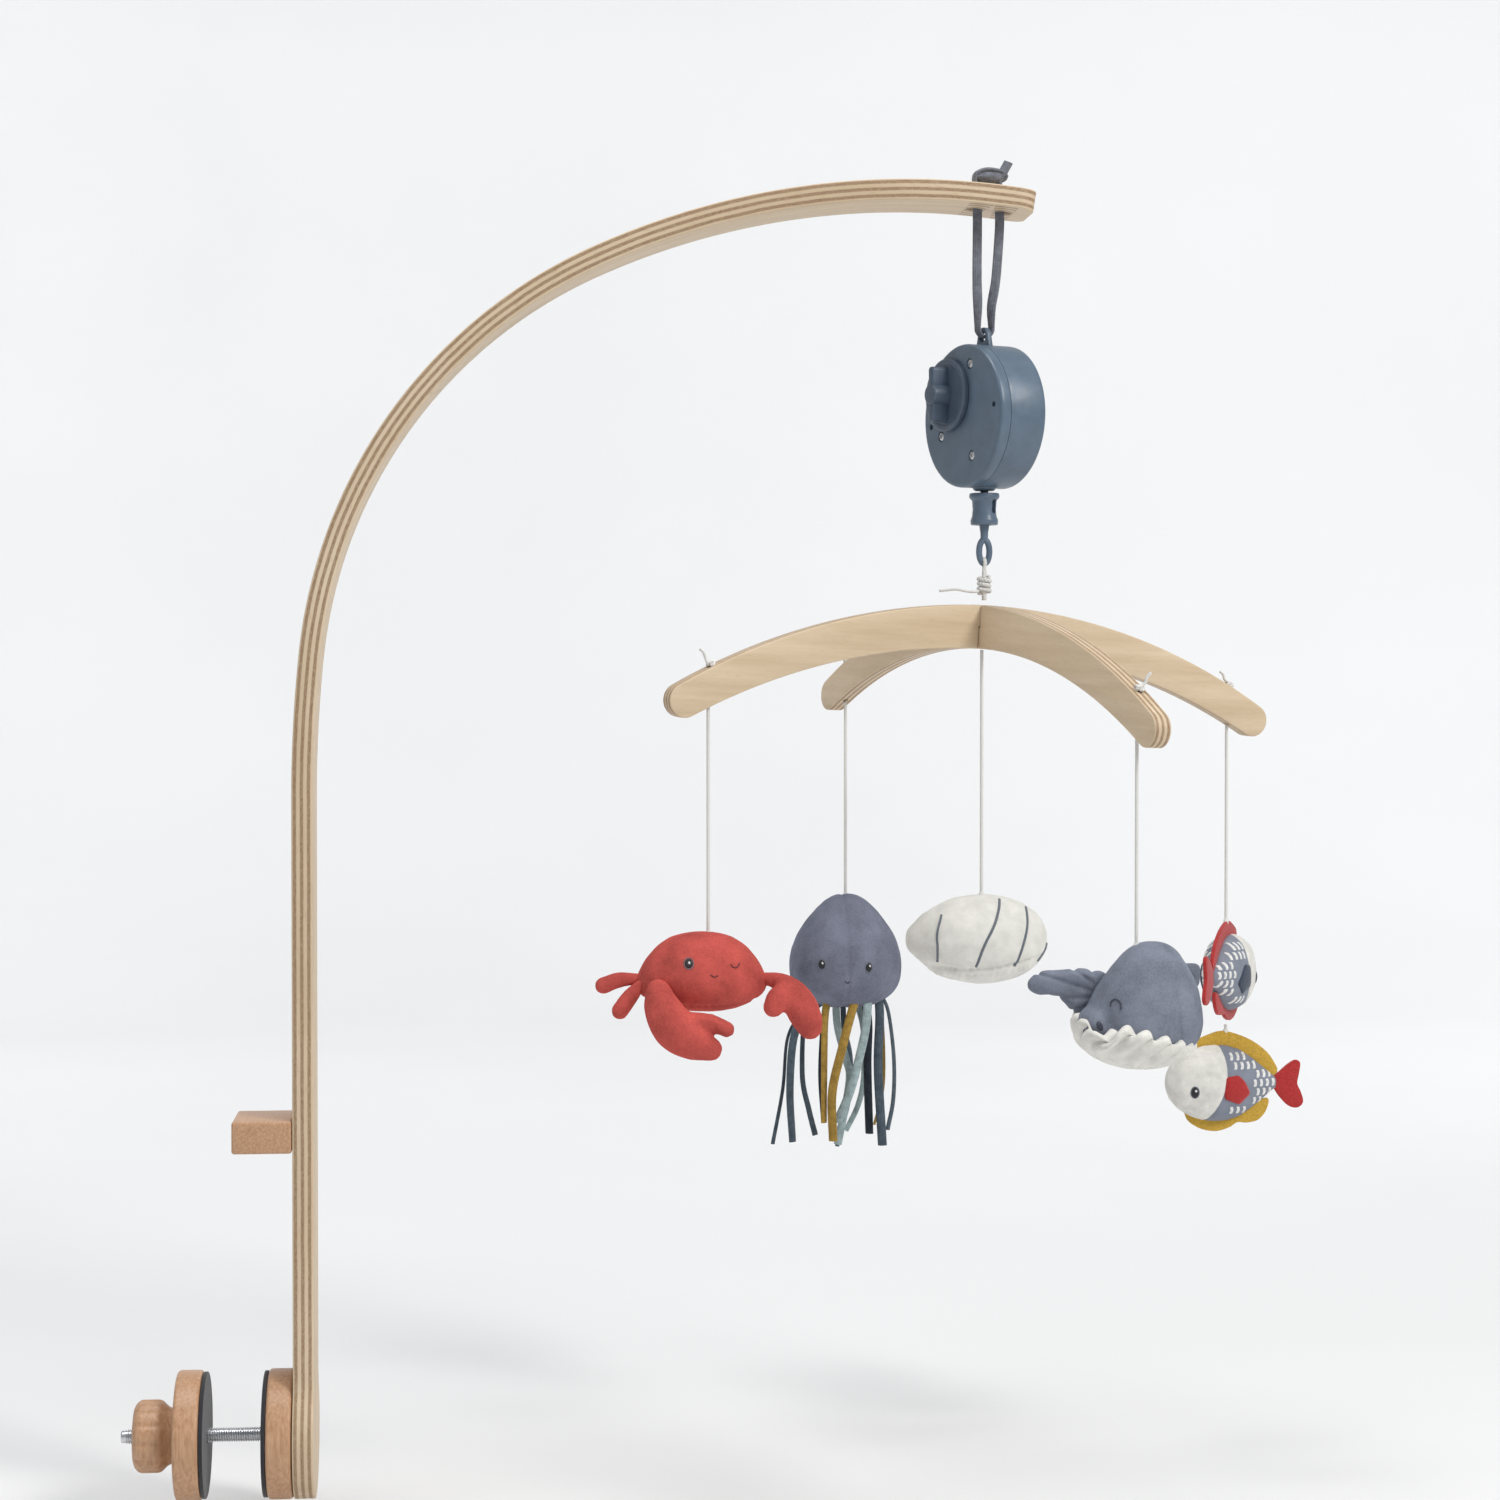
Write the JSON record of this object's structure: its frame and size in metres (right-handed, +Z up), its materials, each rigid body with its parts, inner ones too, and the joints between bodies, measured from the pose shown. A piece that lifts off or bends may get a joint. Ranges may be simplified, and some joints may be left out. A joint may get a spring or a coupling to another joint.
{
  "type": "crib mobile",
  "caption": "Wind-up crib mobile: a bent plywood arm clamps to a crib rail and holds a music box that turns a wooden cross with hanging soft sea-animal toys.",
  "frame": {"origin": "middle of the flat underside of the rail block, where the block rests on the crib's top rail", "axes": "+Z up along the straight mast; +X from the mast towards the arm's tip, into the crib; -Y towards the room"},
  "size_m": [0.6547, 0.368, 0.7127],
  "materials": {
    "birch_ply": "clear matt lacquer on birch plywood, plies showing on the edges",
    "beech": "oiled beech",
    "felt": "dark felt",
    "steel": "zinc plated",
    "brass": "bare brass",
    "slate_plastic": "satin moulded plastic",
    "strap": "woven jersey strap",
    "white_string": "twisted cotton string",
    "coral": "short-pile velour",
    "blue_grey": "brushed cotton",
    "slate_ribbon": "jersey ribbon",
    "mint": "jersey ribbon",
    "mustard": "jersey and felt",
    "cream": "cotton jersey",
    "scale_grey": "printed cotton",
    "red_felt": "short-pile felt"
  },
  "bodies": {
    "root": {"mast": "birch_ply", "rail_block": "beech", "block_dowel_front": "beech", "block_dowel_back": "beech", "inner_pad": "felt", "inner_disc": "beech", "clamp_bolt": "steel", "strap_knot": "strap"},
    "outer_jaw": {"outer_disc": "beech", "outer_pad": "felt"},
    "knob": {"clamp_knob": "beech", "knob_insert": "brass"},
    "strap": {"strap_loop": "strap"},
    "music_box": {"case_cover": "slate_plastic", "case_tub": "slate_plastic", "case_screw_1": "steel", "case_screw_2": "steel", "case_screw_3": "steel", "movement_plate": "steel", "tone_comb": "steel"},
    "winder": {"winding_key": "slate_plastic", "spring_barrel": "brass"},
    "drive": {"drive_wheel": "brass"},
    "cylinder": {"pin_cylinder": "brass"},
    "fan": {"governor": "brass"},
    "swivel": {"output_shaft": "steel", "swivel_cup": "slate_plastic"},
    "eye": {"eye_link": "slate_plastic"},
    "cross": {"hanging_cord": "white_string", "long_bar": "birch_ply", "short_bar": "birch_ply"},
    "crab_line": {"crab_string": "white_string"},
    "crab": {"crab_body": "coral", "crab_claw_left": "coral", "crab_claw_right": "coral", "crab_leg_upper": "coral", "crab_leg_lower": "coral"},
    "jellyfish_line": {"jellyfish_string": "white_string"},
    "jellyfish": {"jellyfish_head": "blue_grey", "jellyfish_ribbon_1": "slate_ribbon", "jellyfish_ribbon_2": "mustard", "jellyfish_ribbon_3": "mint", "jellyfish_ribbon_4": "slate_ribbon"},
    "shell_line": {"shell_string": "white_string"},
    "shell": {"shell": "cream"},
    "whale_line": {"whale_string": "white_string"},
    "whale": {"whale_body": "blue_grey", "whale_jaw": "cream", "whale_tail": "blue_grey", "whale_fin": "blue_grey"},
    "fish_line": {"fish_string": "white_string"},
    "upper_fish": {"upper_fish_body": "scale_grey", "upper_fish_back_fin": "red_felt", "upper_fish_belly_fin": "red_felt", "upper_fish_tail": "red_felt"},
    "fish_link": {"fish_link_string": "white_string"},
    "lower_fish": {"lower_fish_body": "scale_grey", "lower_fish_back_fin": "mustard", "lower_fish_belly_fin": "mustard", "lower_fish_tail": "red_felt"}
  },
  "joints": [
    {"name": "jaw_slide", "type": "slide", "parent": "root", "child": "outer_jaw", "axis": [1, 0, 0], "range_m": [-0.00625, 0.00625]},
    {"name": "knob_spin", "type": "hinge", "parent": "outer_jaw", "child": "knob", "pos_m": [-0.046, 0, -0.152], "axis": [1, 0, 0], "range_deg": [-1800, 1800]},
    {"name": "strap_swing", "type": "hinge", "parent": "root", "child": "strap", "pos_m": [0.3855, 0, 0.503], "axis": [1, 0, 0], "range_deg": [-12, 12]},
    {"name": "box_swing", "type": "hinge", "parent": "strap", "child": "music_box", "pos_m": [0.3855, 0, 0.4329], "axis": [-0.9178, -0.3972, 0], "range_deg": [-12, 12]},
    {"name": "carousel_spin", "type": "hinge", "parent": "music_box", "child": "swivel", "pos_m": [0.3855, 0, 0.3316], "axis": [0, 0, 1], "continuous": true},
    {"name": "winder_spin", "type": "hinge", "parent": "music_box", "child": "winder", "pos_m": [0.38058, 0.01138, 0.4018], "axis": [-0.9178, -0.3972, 0], "continuous": true},
    {"name": "drive_spin", "type": "hinge", "parent": "music_box", "child": "drive", "pos_m": [0.3855, 0, 0.3898], "axis": [-0.9178, -0.3972, 0], "continuous": true},
    {"name": "cylinder_spin", "type": "hinge", "parent": "music_box", "child": "cylinder", "pos_m": [0.38889, -0.0018, 0.4038], "axis": [0.3972, -0.9178, 0], "continuous": true},
    {"name": "fan_spin", "type": "hinge", "parent": "music_box", "child": "fan", "pos_m": [0.38093, 0.01055, 0.3753], "axis": [-0.9178, -0.3972, 0], "continuous": true},
    {"name": "eye_tilt", "type": "hinge", "parent": "swivel", "child": "eye", "pos_m": [0.3855, 0, 0.3356], "axis": [0, 1, 0], "range_deg": [-8, 8]},
    {"name": "cross_tilt", "type": "hinge", "parent": "eye", "child": "cross", "pos_m": [0.3855, 0, 0.3107], "axis": [1, 0, 0], "range_deg": [-8, 8]},
    {"name": "crab_swing", "type": "hinge", "parent": "cross", "child": "crab_line", "pos_m": [0.23216, -0.05198, 0.23413], "axis": [0.9415, 0.3371, 0], "range_deg": [-12, 12]},
    {"name": "crab_twist", "type": "hinge", "parent": "crab_line", "child": "crab", "pos_m": [0.23216, -0.05198, 0.117], "axis": [0, 0, 1], "range_deg": [-60, 60]},
    {"name": "jellyfish_swing", "type": "hinge", "parent": "cross", "child": "jellyfish_line", "pos_m": [0.32891, 0.15254, 0.23653], "axis": [0.3371, -0.9415, 0], "range_deg": [-12, 12]},
    {"name": "jellyfish_twist", "type": "hinge", "parent": "jellyfish_line", "child": "jellyfish", "pos_m": [0.32891, 0.15254, 0.1224], "axis": [0, 0, 1], "range_deg": [-60, 60]},
    {"name": "shell_swing", "type": "hinge", "parent": "cross", "child": "shell_line", "pos_m": [0.38438, 0.00081, 0.26484], "axis": [1, 0, 0], "range_deg": [-12, 12]},
    {"name": "shell_twist", "type": "hinge", "parent": "shell_line", "child": "shell", "pos_m": [0.38438, 0.00081, 0.1324], "axis": [0, 0, 1], "range_deg": [-60, 60]},
    {"name": "whale_swing", "type": "hinge", "parent": "cross", "child": "whale_line", "pos_m": [0.43642, -0.14846, 0.22113], "axis": [0.3371, -0.9415, 0], "range_deg": [-12, 12]},
    {"name": "whale_twist", "type": "hinge", "parent": "whale_line", "child": "whale", "pos_m": [0.43642, -0.14846, 0.1168], "axis": [0, 0, 1], "range_deg": [-60, 60]},
    {"name": "upper_fish_swing", "type": "hinge", "parent": "cross", "child": "fish_line", "pos_m": [0.53318, 0.05607, 0.22353], "axis": [0.9415, 0.3371, 0], "range_deg": [-12, 12]},
    {"name": "upper_fish_twist", "type": "hinge", "parent": "fish_line", "child": "upper_fish", "pos_m": [0.53318, 0.05607, 0.1128], "axis": [0, 0, 1], "range_deg": [-60, 60]},
    {"name": "lower_fish_swing", "type": "hinge", "parent": "upper_fish", "child": "fish_link", "pos_m": [0.53318, 0.05607, 0.0547], "axis": [0.9415, 0.3371, 0], "range_deg": [-8, 8]},
    {"name": "lower_fish_twist", "type": "hinge", "parent": "fish_link", "child": "lower_fish", "pos_m": [0.53318, 0.05607, 0.0508], "axis": [0, 0, 1], "range_deg": [-60, 60]}
  ],
  "couplings": [
    {"joint": "knob_spin", "follows": "jaw_slide", "rad_per_m": 5026.5},
    {"joint": "winder_spin", "follows": "carousel_spin", "ratio": 0.5},
    {"joint": "drive_spin", "follows": "carousel_spin", "ratio": -1},
    {"joint": "cylinder_spin", "follows": "carousel_spin", "ratio": -1},
    {"joint": "fan_spin", "follows": "carousel_spin", "ratio": 8}
  ]
}
